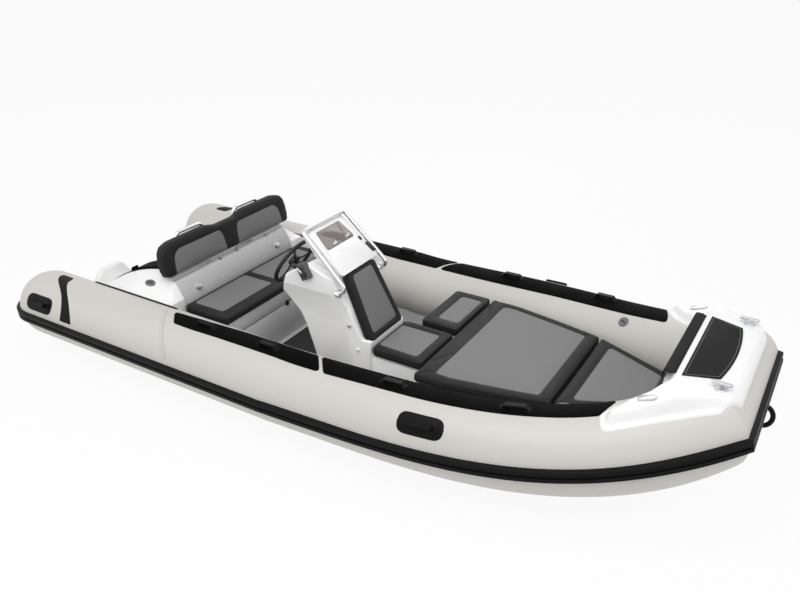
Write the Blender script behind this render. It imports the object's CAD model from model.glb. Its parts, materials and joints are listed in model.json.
import bpy, bmesh, json, math
import numpy as np
from mathutils import Vector, Matrix
from mathutils.bvhtree import BVHTree


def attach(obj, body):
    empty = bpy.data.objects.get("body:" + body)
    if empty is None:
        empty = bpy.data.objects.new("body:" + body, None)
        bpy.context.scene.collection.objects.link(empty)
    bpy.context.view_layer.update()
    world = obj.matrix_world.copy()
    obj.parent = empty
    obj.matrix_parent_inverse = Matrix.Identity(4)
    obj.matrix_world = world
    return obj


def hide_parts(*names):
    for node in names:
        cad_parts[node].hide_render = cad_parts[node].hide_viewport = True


# A rigid inflatable boat in metres: +X to the bow, +Y to port, +Z up from the waterline.
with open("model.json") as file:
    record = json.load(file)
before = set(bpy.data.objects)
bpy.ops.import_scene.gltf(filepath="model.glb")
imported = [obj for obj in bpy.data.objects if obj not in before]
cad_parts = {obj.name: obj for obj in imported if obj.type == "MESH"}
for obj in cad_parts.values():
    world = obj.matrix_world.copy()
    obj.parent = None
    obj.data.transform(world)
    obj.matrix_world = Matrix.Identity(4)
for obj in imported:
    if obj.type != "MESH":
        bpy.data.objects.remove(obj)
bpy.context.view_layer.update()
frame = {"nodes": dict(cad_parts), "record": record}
nodes = frame["nodes"]
slotOf = {row["node"]: row["material_slot"] for row in frame["record"]["subparts"]}
bodyOf = {name: body for body, names in frame["record"]["behaviour"]["bodies"].items() for name in names}
scene = bpy.context.scene

viewSettings = {
    "place": (2.4147, -3.6429, 2.7467), "yaw": 0.5430, "pitch": 0.4735, "lens": 35.226, "sensor": 36, "reach": 90,
}


def makeCamera(s):
    data = bpy.data.cameras.new("camera")
    data.lens = s["lens"]
    data.sensor_width = s["sensor"]
    data.clip_end = s["reach"]
    camera = bpy.data.objects.new("camera", data)
    camera.location = s["place"]
    camera.rotation_euler = (math.pi / 2 - s["pitch"], 0, s["yaw"])
    scene.collection.objects.link(camera)
    scene.camera = camera


makeCamera(viewSettings)
scene.view_settings.view_transform = "Standard"
print("camera placed")

lightSettings = {
    "lamps": [  # name, place, aim, size, watts
        ("lampKey", (1.0, -2.6, 5.4), (0.2, 0, 0), 4.5, 175),
        ("lampFill", (-4.6, -3.2, 3.0), (-0.5, 0, 0.3), 4.0, 48),
        ("lampBow", (5.2, -0.5, 3.2), (1.5, 0, 0.5), 3.0, 42),
        ("lampBack", (-1.5, 4.8, 3.6), (0, 0, 0.3), 4.0, 62),
    ],
    "sky": 0.46,  # strength of the white light from all sides
}


def makeLights(s):
    for name, place, aim, size, watts in s["lamps"]:
        data = bpy.data.lights.new(name, "AREA")
        data.energy = watts
        data.size = size
        lamp = bpy.data.objects.new(name, data)
        lamp.location = place
        lamp.rotation_euler = (Vector(aim) - Vector(place)).to_track_quat("-Z", "Y").to_euler()
        scene.collection.objects.link(lamp)


makeLights(lightSettings)


def addNode(tree, kind, inputs={}, **settings):
    node = tree.nodes.new(kind)
    for key, value in settings.items():
        setattr(node, key, value)
    for key, value in inputs.items():
        if isinstance(value, bpy.types.NodeSocket):
            tree.links.new(value, node.inputs[key])
        else:
            node.inputs[key].default_value = value
    return node


def math2(tree, operation, a, b=0.0):
    return addNode(tree, "ShaderNodeMath", {0: a, 1: b}, operation=operation).outputs[0]


def plus(tree, a, b):
    return math2(tree, "ADD", a, b)


def times(tree, a, b):
    return math2(tree, "MULTIPLY", a, b)


def whiteToView(tree, out, usual, white, share):  # white to the camera and in reflections, the usual shader elsewhere
    path = addNode(tree, "ShaderNodeLightPath")
    direct = math2(tree, "MAXIMUM", path.outputs["Is Camera Ray"], path.outputs["Is Glossy Ray"])
    seen = math2(tree, "MAXIMUM", direct, path.outputs["Is Transmission Ray"])
    mix = addNode(tree, "ShaderNodeMixShader", {0: times(tree, seen, share), 1: usual.outputs[0], 2: white.outputs[0]})
    tree.links.new(mix.outputs[0], addNode(tree, out).inputs["Surface"])


def makeWorld(s):
    world = bpy.data.worlds.new("studio")
    scene.world = world
    world.use_nodes = True
    tree = world.node_tree
    tree.nodes.clear()
    glow = addNode(tree, "ShaderNodeBackground", {"Color": (1, 1, 1, 1), "Strength": s["sky"]})
    white = addNode(tree, "ShaderNodeBackground", {"Color": (1, 1, 1, 1), "Strength": 1.0})
    whiteToView(tree, "ShaderNodeOutputWorld", glow, white, 1.0)


makeWorld(lightSettings)

floorSettings = {"half": 40.0, "level": 0.0, "color": (0.86, 0.86, 0.86, 1), "white": 0.92}


def rectangle(x0, y0, x1, y1):
    return [(x0, y0), (x1, y0), (x1, y1), (x0, y1)]


def makeFloor(s):
    mesh = bpy.data.meshes.new("floor")
    h = s["half"]
    mesh.from_pydata([(x, y, s["level"]) for x, y in rectangle(-h, -h, h, h)], [], [(0, 1, 2, 3)])
    floor = bpy.data.objects.new("floor", mesh)
    scene.collection.objects.link(floor)
    material = bpy.data.materials.new("floorPale")
    material.use_nodes = True
    tree = material.node_tree
    tree.nodes.clear()
    plain = addNode(tree, "ShaderNodeBsdfDiffuse", {"Color": s["color"]})
    white = addNode(tree, "ShaderNodeEmission", {"Color": (1, 1, 1, 1), "Strength": 1.0})
    whiteToView(tree, "ShaderNodeOutputMaterial", plain, white, s["white"])
    mesh.materials.append(material)


makeFloor(floorSettings)
print("studio ready")


def toLinear(color):
    return tuple(((v / 255 + 0.055) / 1.055) ** 2.4 for v in color) + (1.0,)


def noise(tree, place, scale, detail, **more):
    return addNode(tree, "ShaderNodeTexNoise", dict(more, Vector=place, Scale=scale, Detail=detail)).outputs["Fac"]


def ramp(tree, value, low, high, first=0.0, last=1.0, kind="LINEAR"):
    return addNode(tree, "ShaderNodeMapRange", {
        "Value": value, "From Min": low, "From Max": high, "To Min": first, "To Max": last,
    }, interpolation_type=kind).outputs[0]


def smooth(tree, value, low, high, first=0.0, last=1.0):
    return ramp(tree, value, low, high, first, last, "SMOOTHSTEP")


def vectors(tree, operation, inputs):
    return addNode(tree, "ShaderNodeVectorMath", inputs, operation=operation).outputs


def driftGroup(tree, place, given):  # slow and fine colour drift, as a coated or moulded surface has
    slow = noise(tree, place, given["Size"], 5.0, Roughness=0.55)
    mixed = plus(tree, times(tree, slow, 0.75), times(tree, noise(tree, place, 90.0, 3.0), 0.25))
    swing = times(tree, math2(tree, "SUBTRACT", mixed, 0.5), times(tree, given["Amount"], 2.0))
    return {"Tone": plus(tree, swing, 1.0), "Wear": slow}


def weaveGroup(tree, place, given):  # fine plain weave under a coating
    turns = math2(tree, "DIVIDE", math.tau, given["Pitch"])
    axes = addNode(tree, "ShaderNodeSeparateXYZ", {"Vector": place}).outputs
    waves = [math2(tree, "SINE", times(tree, axis, turns)) for axis in axes]
    crossed = times(tree, waves[0], plus(tree, waves[1], waves[2]))
    return {"Height": plus(tree, times(tree, crossed, 0.3), noise(tree, place, 260.0, 2.0))}


def grainGroup(tree, place, given):  # leather-like grain of marine vinyl
    bent = addNode(tree, "ShaderNodeTexNoise", {"Vector": place, "Scale": 120.0, "Detail": 2.0})
    push = vectors(tree, "SCALE", {0: bent.outputs["Color"], "Scale": 0.002})[0]
    moved = vectors(tree, "ADD", {0: place, 1: push})[0]
    cells = addNode(tree, "ShaderNodeTexVoronoi", {
        "Vector": moved, "Scale": given["Cells"], "Randomness": 1.0,
    }, feature="DISTANCE_TO_EDGE")
    soft = smooth(tree, cells.outputs["Distance"], 0.0, 0.25)
    return {"Height": plus(tree, soft, times(tree, noise(tree, place, 900.0, 2.0), 0.5))}


def treadGroup(tree, place, given):  # small raised diamonds of non-slip rubber
    turns = math2(tree, "DIVIDE", math.pi, given["Pitch"])
    x, y, z = addNode(tree, "ShaderNodeSeparateXYZ", {"Vector": place}).outputs
    slants = [plus(tree, x, y), math2(tree, "SUBTRACT", x, y)]
    lines = [math2(tree, "ABSOLUTE", math2(tree, "SINE", times(tree, slant, turns))) for slant in slants]
    mask = smooth(tree, math2(tree, "MINIMUM", *lines), 0.15, 0.5)
    return {"Height": plus(tree, mask, times(tree, noise(tree, place, 1400.0, 2.0), 0.3)), "Mask": mask}


def peelGroup(tree, place, given):  # the faint ripple of sprayed gelcoat or moulded plastic
    wide = times(tree, noise(tree, place, 14.0, 1.0), 0.6)
    return {"Height": plus(tree, noise(tree, place, given["Size"], 3.0), wide)}


def brushGroup(tree, place, given):  # drawn lines of polished tube and machined metal
    stretched = vectors(tree, "MULTIPLY", {0: place, 1: given["Along"]})[0]
    return {"Height": noise(tree, stretched, 900.0, 3.0)}


def ribGroup(tree, place, given):  # straight grooves across a mat, with a fine grit between them
    along = vectors(tree, "DOT_PRODUCT", {0: place, 1: given["Across"]})["Value"]
    steps = math2(tree, "DIVIDE", along, given["Pitch"])
    part = math2(tree, "ABSOLUTE", math2(tree, "SUBTRACT", math2(tree, "FRACT", steps), 0.5))
    land = smooth(tree, part, math2(tree, "SUBTRACT", 0.5, given["Groove"]), 0.5, 1.0, 0.0)
    return {"Height": plus(tree, land, times(tree, noise(tree, place, 1100.0, 3.0), 0.22)), "Mask": land}


def shaderGroup(name, build, wanted):  # a node group whose build gives its outputs by name
    group = bpy.data.node_groups.new(name, "ShaderNodeTree")
    group.interface.new_socket("Place", in_out="INPUT", socket_type="NodeSocketVector")
    for label, value in wanted.items():
        kind = "NodeSocketVector" if isinstance(value, tuple) else "NodeSocketFloat"
        group.interface.new_socket(label, in_out="INPUT", socket_type=kind).default_value = value
    given = addNode(group, "NodeGroupInput").outputs
    results = build(group, given["Place"], given)
    for label in results:
        group.interface.new_socket(label, in_out="OUTPUT", socket_type="NodeSocketFloat")
    addNode(group, "NodeGroupOutput", results)
    return group


surfaceGroups = {key: shaderGroup(*row) for key, row in {
    "drift": ("surfaceDrift", driftGroup, {"Size": 3.0, "Amount": 0.06}),
    "weave": ("coatedWeave", weaveGroup, {"Pitch": 0.0016}),
    "grain": ("vinylGrain", grainGroup, {"Cells": 420.0}),
    "tread": ("diamondTread", treadGroup, {"Pitch": 0.009}),
    "peel": ("mouldRipple", peelGroup, {"Size": 160.0}),
    "brush": ("drawnLines", brushGroup, {"Along": (1.0, 1.0, 0.02)}),
    "rib": ("groovedMat", ribGroup, {"Across": (0.0, 1.0, 0.0), "Pitch": 0.045, "Groove": 0.08}),
}.items()}


def addGroup(tree, name, inputs):
    return addNode(tree, "ShaderNodeGroup", inputs, node_tree=surfaceGroups[name])


def mixColors(tree, share, first, second):
    return addNode(tree, "ShaderNodeMix", {0: share, 6: first, 7: second}, data_type="RGBA").outputs[2]


def insetColor(tree, border, panel):  # border and panel vinyl by the way to the panels, darker at each seam
    reach = addNode(tree, "ShaderNodeAttribute", attribute_name="panelReach").outputs["Fac"]
    seam = addNode(tree, "ShaderNodeAttribute", attribute_name="seamReach").outputs["Fac"]
    both = mixColors(tree, ramp(tree, reach, -0.0012, 0.0012, 1.0, 0.0), border, panel)
    shade = smooth(tree, math2(tree, "ABSOLUTE", seam), 0.0006, 0.0026, 0.55, 1.0)
    return vectors(tree, "SCALE", {0: both, "Scale": shade})[0]


def makeFinish(name, s):  # a colour with drift, a roughness range, and the relief that s["relief"] names
    material = bpy.data.materials.new(name)
    material.use_nodes = True
    tree = material.node_tree
    shader = tree.nodes["Principled BSDF"]
    place = addNode(tree, "ShaderNodeTexCoord").outputs["Object"]
    drift = addGroup(tree, "drift", {"Place": place, "Amount": s["drift"]}).outputs
    kind, values = s["relief"]
    relief = addGroup(tree, kind, dict(values, Place=place)).outputs
    color = toLinear(s["color"])
    if "inset" in s:
        source = insetColor(tree, color, toLinear(s["inset"]))
    elif "low" in s:
        source = mixColors(tree, relief["Mask"], toLinear(s["low"]), color)
    else:
        source = color[:3]
    tone = vectors(tree, "SCALE", {0: source, "Scale": drift["Tone"]})[0]
    tree.links.new(tone, shader.inputs["Base Color"])
    tree.links.new(ramp(tree, drift["Wear"], 0.3, 0.7, *s["rough"]), shader.inputs["Roughness"])
    bump = {"Height": relief["Height"], "Strength": s["strength"], "Distance": s["depth"]}
    if "round" in s:
        bump["Normal"] = addNode(tree, "ShaderNodeBevel", {"Radius": s["round"]}, samples=4).outputs[0]
    tree.links.new(addNode(tree, "ShaderNodeBump", bump).outputs[0], shader.inputs["Normal"])
    for key, value in s.get("set", {}).items():
        shader.inputs[key].default_value = value
    return material


finishUsual = {"drift": 0.06, "relief": ("peel", {"Size": 300.0}), "strength": 0.3, "depth": 0.0006}
finishSettings = {  # colours are 0 to 255; "low" is the colour in the grooves, "inset" the panels'
    "tubeFabric": {
        "color": (205, 202, 197), "rough": (0.36, 0.5), "drift": 0.03, "relief": ("weave", {"Pitch": 0.0018}),
        "strength": 0.25, "depth": 0.0004, "set": {"Sheen Weight": 0.05},
    },
    "seamTape": {
        "color": (200, 197, 192), "rough": (0.4, 0.5), "drift": 0.03, "relief": ("weave", {"Pitch": 0.0014}),
        "depth": 0.0004,
    },
    "seamLine": {"color": (150, 147, 142), "rough": (0.45, 0.6), "depth": 0.0003},
    "lineGrey": {"color": (128, 128, 128), "rough": (0.5, 0.6), "drift": 0.04, "strength": 0.2, "depth": 0.0002},
    "ventGrey": {
        "color": (58, 58, 60), "rough": (0.5, 0.62), "drift": 0.05,
        "relief": ("rib", {"Pitch": 0.008, "Groove": 0.2, "Across": (1.0, 0.0, 0.0)}), "strength": 0.8,
        "depth": 0.001,
    },
    "stripeBlack": {
        "color": (8, 8, 9), "rough": (0.42, 0.54), "drift": 0.05, "relief": ("weave", {"Pitch": 0.0016}),
        "depth": 0.0004, "set": {"Specular IOR Level": 0.1},
    },
    "strakeRubber": {
        "color": (8, 8, 9), "rough": (0.38, 0.5), "drift": 0.08, "relief": ("peel", {"Size": 240.0}), "round": 0.003,
        "set": {"Specular IOR Level": 0.12},
    },
    "padTread": {
        "color": (9, 9, 10), "low": (4, 4, 4), "rough": (0.55, 0.7), "relief": ("tread", {"Pitch": 0.008}),
        "strength": 0.7, "depth": 0.0012, "set": {"Specular IOR Level": 0.03},
    },
    "handleRubber": {
        "color": (7, 7, 8), "rough": (0.38, 0.52), "strength": 0.35, "depth": 0.0005, "round": 0.002,
        "set": {"Specular IOR Level": 0.12},
    },
    "valvePlastic": {
        "color": (112, 113, 119), "rough": (0.4, 0.52), "drift": 0.05, "relief": ("peel", {"Size": 320.0}),
        "depth": 0.0003, "round": 0.001,
    },
    "hullPaint": {
        "color": (214, 214, 214), "rough": (0.26, 0.4), "drift": 0.03, "relief": ("peel", {"Size": 90.0}),
        "set": {"Coat Weight": 0.3, "Coat Roughness": 0.12}, "round": 0.003,
    },
    "deckMat": {
        "color": (36, 36, 37), "low": (14, 14, 15), "rough": (0.72, 0.85), "drift": 0.08,
        "relief": ("rib", {"Pitch": 0.05, "Groove": 0.05}), "strength": 0.8, "depth": 0.002,
    },
    "deckPaint": {
        "color": (188, 188, 188), "rough": (0.45, 0.6), "drift": 0.04, "relief": ("tread", {"Pitch": 0.004}),
        "strength": 0.35, "depth": 0.0005,
    },
    "gelcoatWhite": {
        "color": (244, 244, 244), "rough": (0.3, 0.36), "drift": 0.008, "relief": ("peel", {"Size": 220.0}),
        "strength": 0.12, "depth": 0.0002, "set": {"Coat Weight": 0.25, "Coat Roughness": 0.1}, "round": 0.003,
    },
    "gelcoatGrey": {
        "color": (196, 196, 197), "rough": (0.3, 0.42), "drift": 0.02, "relief": ("peel", {"Size": 60.0}),
        "strength": 0.18, "round": 0.004,
    },
    "vinylBorder": {
        "color": (34, 34, 35), "inset": (125, 125, 126), "rough": (0.46, 0.6), "relief": ("grain", {"Cells": 520.0}),
        "strength": 0.4, "set": {"Specular IOR Level": 0.16},
    },
    "vinylBack": {
        "color": (32, 32, 33), "inset": (120, 120, 121), "rough": (0.46, 0.6), "relief": ("grain", {"Cells": 520.0}),
        "strength": 0.4, "set": {"Specular IOR Level": 0.16},
    },
    "threadGrey": {
        "color": (96, 96, 97), "rough": (0.6, 0.75), "drift": 0.1, "relief": ("weave", {"Pitch": 0.0006}),
        "strength": 0.5, "depth": 0.0003,
    },
    "lidWhite": {
        "color": (226, 226, 226), "rough": (0.28, 0.4), "drift": 0.02, "relief": ("peel", {"Size": 120.0}),
        "strength": 0.25, "depth": 0.0005, "round": 0.002,
    },
    "stainless": {
        "color": (216, 217, 219), "rough": (0.2, 0.3), "drift": 0.03, "relief": ("brush", {}), "strength": 0.12,
        "depth": 0.0003, "set": {"Metallic": 1.0},
    },
    "castSteel": {
        "color": (200, 201, 204), "rough": (0.26, 0.36), "drift": 0.05, "relief": ("peel", {"Size": 200.0}),
        "strength": 0.2, "depth": 0.0003, "set": {"Metallic": 1.0}, "round": 0.002,
    },
    "windowSmoked": {
        "color": (176, 170, 169), "rough": (0.03, 0.07), "drift": 0.02, "relief": ("peel", {"Size": 24.0}),
        "strength": 0.05, "set": {"Transmission Weight": 0.75, "IOR": 1.49},
    },
    "wheelRubber": {
        "color": (13, 13, 14), "rough": (0.4, 0.52), "relief": ("grain", {"Cells": 600.0}), "strength": 0.4,
        "depth": 0.0005,
    },
    "dashPanel": {
        "color": (84, 79, 79), "rough": (0.42, 0.55), "drift": 0.05, "relief": ("grain", {"Cells": 700.0}),
        "depth": 0.0004, "round": 0.001,
    },
    "blackPlastic": {
        "color": (12, 12, 13), "rough": (0.3, 0.42), "relief": ("peel", {"Size": 260.0}), "strength": 0.25,
        "depth": 0.0004, "round": 0.001,
    },
    "dialFace": {"color": (12, 12, 13), "rough": (0.35, 0.45), "drift": 0.04, "strength": 0.1, "depth": 0.0002},
    "dialMark": {"color": (226, 226, 224), "rough": (0.4, 0.5), "drift": 0.02, "strength": 0.1, "depth": 0.0002},
    "stepRubber": {
        "color": (40, 40, 40), "low": (14, 14, 14), "rough": (0.7, 0.82), "drift": 0.07,
        "relief": ("rib", {"Across": (1.0, 0.0, 0.0), "Pitch": 0.005, "Groove": 0.12}), "strength": 0.6,
        "depth": 0.001, "set": {"Specular IOR Level": 0.1},
    },
}
finishes = {name: makeFinish(name, dict(finishUsual, **s)) for name, s in finishSettings.items()}
slotFinish = {
    "tube": "tubeFabric", "strake": "strakeRubber", "pad_black": "padTread", "handle": "handleRubber",
    "valve": "valvePlastic", "hull": "hullPaint", "deck": "deckPaint", "gelcoat": "gelcoatWhite",
    "cushion": "vinylBorder", "lid": "lidWhite", "steel": "stainless", "window": "windowSmoked",
    "wheel": "blackPlastic", "dash": "dashPanel", "step": "stepRubber",
}
nodeFinish = {"cleats": "castSteel", "bench_latch": "blackPlastic"}
for name, piece in nodes.items():
    piece.data.materials.clear()
    piece.data.materials.append(finishes[nodeFinish.get(name, slotFinish[slotOf[name]])])
    piece.data.polygons.foreach_set("material_index", [0] * len(piece.data.polygons))
print("finishes made:", len(finishes))


def dressed(mesh, finish):
    mesh.materials.clear()
    mesh.materials.append(finishes[finish])
    return mesh


def joinMeshes(name, meshes):  # several meshes in one, each keeping its materials
    shape = bmesh.new()
    materials = []
    for mesh in meshes:
        first = len(shape.faces)
        shape.from_mesh(mesh)
        shape.faces.ensure_lookup_table()
        kept = list(mesh.materials)
        for face in shape.faces[first:]:
            material = kept[face.material_index] if kept else None
            if material not in materials:
                materials.append(material)
            face.material_index = materials.index(material)
    joined = bpy.data.meshes.new(name)
    shape.to_mesh(joined)
    shape.free()
    for material in materials:
        joined.materials.append(material)
    return joined


def newPiece(name, mesh, node=None, body="boat", slot=None, finish=None):  # a mesh or several, in place of a node
    if isinstance(mesh, list):
        mesh = joinMeshes(name, mesh)
    piece = bpy.data.objects.new(name, mesh)
    scene.collection.objects.link(piece)
    if finish:
        dressed(mesh, finish)
    if node:
        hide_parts(node)
    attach(piece, bodyOf.get(node, body))
    return piece


def meshFrom(name, points, faces, smooth=True):
    mesh = bpy.data.meshes.new(name)
    mesh.from_pydata([tuple(p) for p in points], [], faces)
    mesh.validate()
    mesh.update()
    if smooth:
        mesh.shade_smooth()
    return mesh


def roundedLoop(points, radius, steps=6):  # a closed outline with round corners; radius may be a function of place
    corners = [Vector(p) for p in points]
    count = len(corners)
    loop = []
    for i, corner in enumerate(corners):
        before, after = corners[i - 1] - corner, corners[(i + 1) % count] - corner
        bend = math.pi - before.angle(after)
        here = radius(corner) if callable(radius) else radius
        reach = min(here * math.tan(bend / 2), before.length * 0.48, after.length * 0.48)
        start, end = corner + before.normalized() * reach, corner + after.normalized() * reach
        turns = max(1, round(steps * bend / 1.57))
        for k in range(turns + 1):
            t = k / turns
            loop.append(start * (1 - t) ** 2 + corner * 2 * t * (1 - t) + end * t * t)
    return [p for i, p in enumerate(loop) if (p - loop[i - 1]).length > 1e-5]


def insetLoop(loop, distance):  # an anticlockwise outline moved inwards
    moved = []
    count = len(loop)
    for i, p in enumerate(loop):
        a, b = (p - loop[i - 1]).normalized(), (loop[(i + 1) % count] - p).normalized()
        side = Vector((-a.y - b.y, a.x + b.x)).normalized()
        moved.append(p + side * distance / max(0.5, side.dot(Vector((-a.y, a.x)))))
    return moved


def anticlockwise(points):
    area = sum(a[0] * b[1] - b[0] * a[1] for a, b in zip(points, points[1:] + points[:1]))
    return list(points) if area > 0 else list(reversed(points))


def both(half):  # a half outline on the +v side, closed by its mirror
    return half + [(u, -v) for u, v in reversed(half)]


def roundedRings(top, edge, steps):  # (height, inset) up a rounded upper edge
    turns = [math.pi / 2 * k / steps for k in range(steps + 1)]
    return [(top - edge + edge * math.sin(turn), edge * (1 - math.cos(turn))) for turn in turns]


def ringFaces(rings, count):  # sides between closed rings of points, and a face over each end
    faces = []
    for r in range(rings - 1):
        for i in range(count):
            j = (i + 1) % count
            faces.append((r * count + i, r * count + j, (r + 1) * count + j, (r + 1) * count + i))
    return faces + [tuple(reversed(range(count))), tuple(range((rings - 1) * count, rings * count))]


cushionSettings = {
    "swell": 0.0045, "cap": 0.0095, "frames": 20, "pressure": 2.8, "seamDepth": 0.0026, "seamWidth": 0.0042,
    "soft": 0.0075, "chamfer": 0.004, "sideSeam": 0.0155, "rimWidth": 0.014, "holdReach": 0.006, "holdHeight": 0.006,
    "panelCorner": 0.026, "stitchPitch": 0.0085, "stitchLength": 0.0055, "stitchThick": 0.0011, "stitchAside": 0.006,
    "stitchEdge": 0.012,
}
slopeFace = Vector((61 - 245, 0, 836 - 462)) / 1000
slopeLength = slopeFace.length
slopeUp = slopeFace.normalized()
slopeOut = Vector((slopeUp.z, 0, -slopeUp.x))
lean = math.radians(11)
backUp = Vector((-math.sin(lean), 0, math.cos(lean)))
backOut = Vector((math.cos(lean), 0, math.sin(lean)))


def placeFrame(origin, u, v, w):
    return Matrix((
        (u[0], v[0], w[0], origin[0]), (u[1], v[1], w[1], origin[1]), (u[2], v[2], w[2], origin[2]), (0, 0, 0, 1),
    ))


def flatPlace(bottom):
    return placeFrame((0, 0, bottom), (1, 0, 0), (0, 1, 0), (0, 0, 1))


padHalf = [(0.603, 0.525), (0.800, 0.518), (1.080, 0.465), (1.360, 0.402), (1.790, 0.212), (1.848, 0.194)]


def padCorner(spot):  # the two long pads meet square
    return 0.007 if abs(spot[0] - 1.36) < 0.02 else 0.03


def padEdge(x):
    for (x0, y0), (x1, y1) in zip(padHalf, padHalf[1:]):
        if x <= x1:
            return y0 + (y1 - y0) * (x - x0) / (x1 - x0)
    return padHalf[-1][1]


def padOutline(aft, forward):
    return both([(aft, padEdge(aft))] + [p for p in padHalf if aft < p[0] < forward] + [(forward, padEdge(forward))])


def inMetres(points):
    return [(u / 1000, v / 1000) for u, v in points]


backPanel = inMetres([(60, -40), (62, 60), (68, 115), (88, 160), (468, 162), (510, 128), (524, 60), (526, -40)])
cushions = [
    {"name": "benchCushion", "node": "bench_cushion", "outline": rectangle(-1.042, -0.58, -0.675, 0.58),
     "corner": 0.034, "thick": 0.055, "place": flatPlace(0.400), "voxel": 0.0085,
     "panels": [rectangle(-1.012, 0.030, -0.768, 0.512), rectangle(-1.012, -0.512, -0.768, -0.030)]},
    {"name": "seatCushion", "node": "seat_cushion", "outline": rectangle(0.249, -0.388, 0.590, 0.018),
     "corner": 0.034, "thick": 0.055, "place": flatPlace(0.382), "voxel": 0.0062,
     "panels": [[(0.266, -0.322), (0.527, -0.330), (0.527, -0.050), (0.266, -0.050)]]},
    {"name": "wingCushion", "node": "wing_cushion", "outline": rectangle(0.340, 0.030, 0.598, 0.520),
     "corner": 0.034, "thick": 0.055, "place": flatPlace(0.400), "voxel": 0.0062,
     "panels": [rectangle(0.418, 0.112, 0.560, 0.450)]},
    {"name": "padCushion", "node": "pad_cushion", "outline": padOutline(0.603, 1.3575),
     "corner": padCorner, "thick": 0.055, "place": flatPlace(0.400), "voxel": 0.0095,
     "panels": [both([(0.712, 0.455), (0.800, 0.455), (1.080, 0.404), (1.278, 0.360)])]},
    {"name": "bowCushion", "node": "bow_cushion", "outline": padOutline(1.3625, 1.848),
     "corner": padCorner, "thick": 0.055, "place": flatPlace(0.400), "voxel": 0.0085,
     "panels": [both([(1.440, 0.312), (1.778, 0.152)])]},
    {"name": "frontCushion", "node": "front_cushion", "finish": "vinylBack",
     "outline": [(-0.182, -0.016), (0.182, -0.016), (0.150, slopeLength), (-0.150, slopeLength)],
     "place": placeFrame(Vector((0.245, -0.185, 0.462)) - slopeOut * 0.05, (0, 1, 0), slopeUp, slopeOut),
     "corner": 0.04, "thick": 0.05, "voxel": 0.0062,
     "panels": [[(-0.130, 0.030), (0.130, 0.030), (0.098, 0.390), (-0.098, 0.390)]]},
    {"name": "backrestCushion", "node": "backrest", "finish": "vinylBack", "outline": inMetres([
        (-598, 0), (598, 0), (610, 55), (608, 126), (597, 174), (566, 210), (505, 226), (200, 228), (150, 218),
        (85, 200), (-85, 200), (-150, 218), (-200, 228), (-505, 226), (-566, 210), (-597, 174), (-608, 126),
        (-610, 55)]),
     "place": placeFrame(Vector((-1.105, 0, 0.620)) - backOut * 0.075, (0, 1, 0), backUp, backOut),
     "corner": 0.03, "soft": 0.016, "thick": 0.075, "voxel": 0.0078, "panelCorner": 0.045,
     "panels": [backPanel, [(-y, v) for y, v in backPanel]]},
]


def cushionBlank(s):  # a closed block with rounded edges, a little smaller than the finished cushion
    swell, chamfer = cushionSettings["swell"], cushionSettings["chamfer"]
    outline = insetLoop(roundedLoop(anticlockwise(s["outline"]), s["corner"]), swell)
    soft = min(s.get("soft", cushionSettings["soft"]), s["thick"] * 0.3)
    rings = [(0.0, chamfer), (chamfer, 0.0)] + roundedRings(s["thick"] - swell, soft, 4)
    points = [(p.x, p.y, w) for w, inset in rings for p in insetLoop(outline, inset)]
    return meshFrom(s["name"] + "Blank", points, ringFaces(len(rings), len(outline)), smooth=False)


def flatten(piece, name):  # the object's mesh with its modifiers applied
    view = bpy.context.evaluated_depsgraph_get()
    mesh = bpy.data.meshes.new_from_object(piece.evaluated_get(view))
    mesh.name = name
    return mesh


def readPoints(mesh):
    values = np.zeros(len(mesh.vertices) * 3)
    mesh.vertices.foreach_get("co", values)
    return values.reshape(-1, 3)


def writePoints(mesh, values):
    mesh.vertices.foreach_set("co", np.ascontiguousarray(values).ravel())
    mesh.update()


def reachTo(loop, spots):  # signed distance from flat spots to a closed outline, negative inside
    best = np.full(len(spots), 1e9)
    inside = np.zeros(len(spots), dtype=bool)
    for a, b in zip(loop, loop[1:] + loop[:1]):
        ax, ay, bx, by = a[0], a[1], b[0], b[1]
        dx, dy = bx - ax, by - ay
        length = math.hypot(dx, dy)
        if length < 1e-9:
            continue
        t = np.clip(((spots[:, 0] - ax) * dx + (spots[:, 1] - ay) * dy) / length ** 2, 0, 1)
        best = np.minimum(best, np.hypot(spots[:, 0] - ax - t * dx, spots[:, 1] - ay - t * dy))
        if abs(dy) > 1e-12:
            crosses = (spots[:, 0] < dx * (spots[:, 1] - ay) / dy + ax)
            inside ^= ((ay > spots[:, 1]) != (by > spots[:, 1])) & crosses
    return np.where(inside, -best, best)


def setAttribute(mesh, name, values):
    layer = mesh.attributes.new(name, "FLOAT", "POINT")
    layer.data.foreach_set("value", np.ascontiguousarray(values, dtype=np.float32))


def panelLoops(s):
    corner = s.get("panelCorner", cushionSettings["panelCorner"])
    return [roundedLoop(anticlockwise(panel), corner, 5) for panel in s["panels"]]


def seamReaches(s, spots):  # for each spot: reach to the nearest panel, and to the nearest seam of any kind
    panel = np.full(len(spots), 1e9)
    for loop in panelLoops(s):
        panel = np.minimum(panel, reachTo(loop, spots[:, :2]))
    panel = np.where(spots[:, 2] > s["thick"] * 0.6, panel, 0.05)  # panels are on the upper face only
    edge = reachTo(roundedLoop(anticlockwise(s["outline"]), s["corner"]), spots[:, :2])
    band = s["thick"] - cushionSettings["swell"] - cushionSettings["sideSeam"]
    side = np.where(edge > -cushionSettings["rimWidth"], np.abs(spots[:, 2] - band), 1.0)
    return panel, np.minimum(np.abs(panel), side)


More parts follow.
